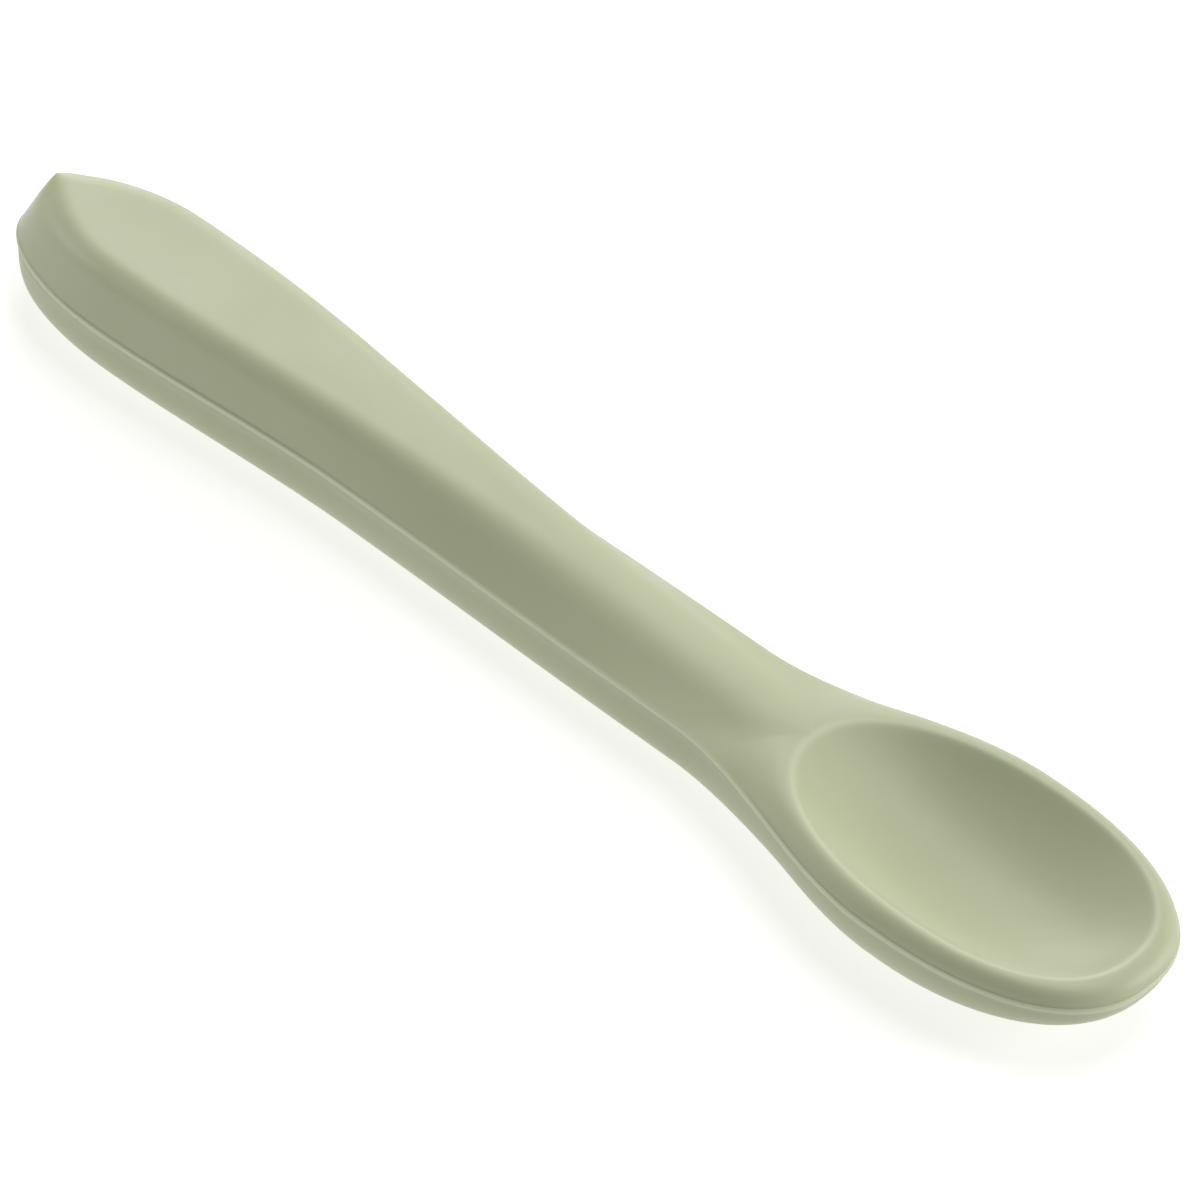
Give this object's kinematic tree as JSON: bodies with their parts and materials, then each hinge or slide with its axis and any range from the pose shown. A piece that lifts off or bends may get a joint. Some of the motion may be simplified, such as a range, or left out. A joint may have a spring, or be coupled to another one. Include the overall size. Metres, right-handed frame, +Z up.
{
  "type": "baby spoon",
  "caption": "Soft silicone feeding spoon with a shallow oval bowl and a chunky facetted handle, moulded over a stiff core.",
  "frame": {"origin": "middle of the spoon's length and width, on the surface that it rests on", "axes": "+X from the handle end to the bowl's tip, +Z up, the bowl opens upwards"},
  "size_m": [0.1453, 0.0262, 0.0142],
  "materials": {
    "silicone": "matte sage green moulded silicone",
    "core_plastic": "as-moulded nylon"
  },
  "bodies": {
    "root": {"silicone_body": "silicone", "stiff_core": "core_plastic"}
  },
  "joints": []
}
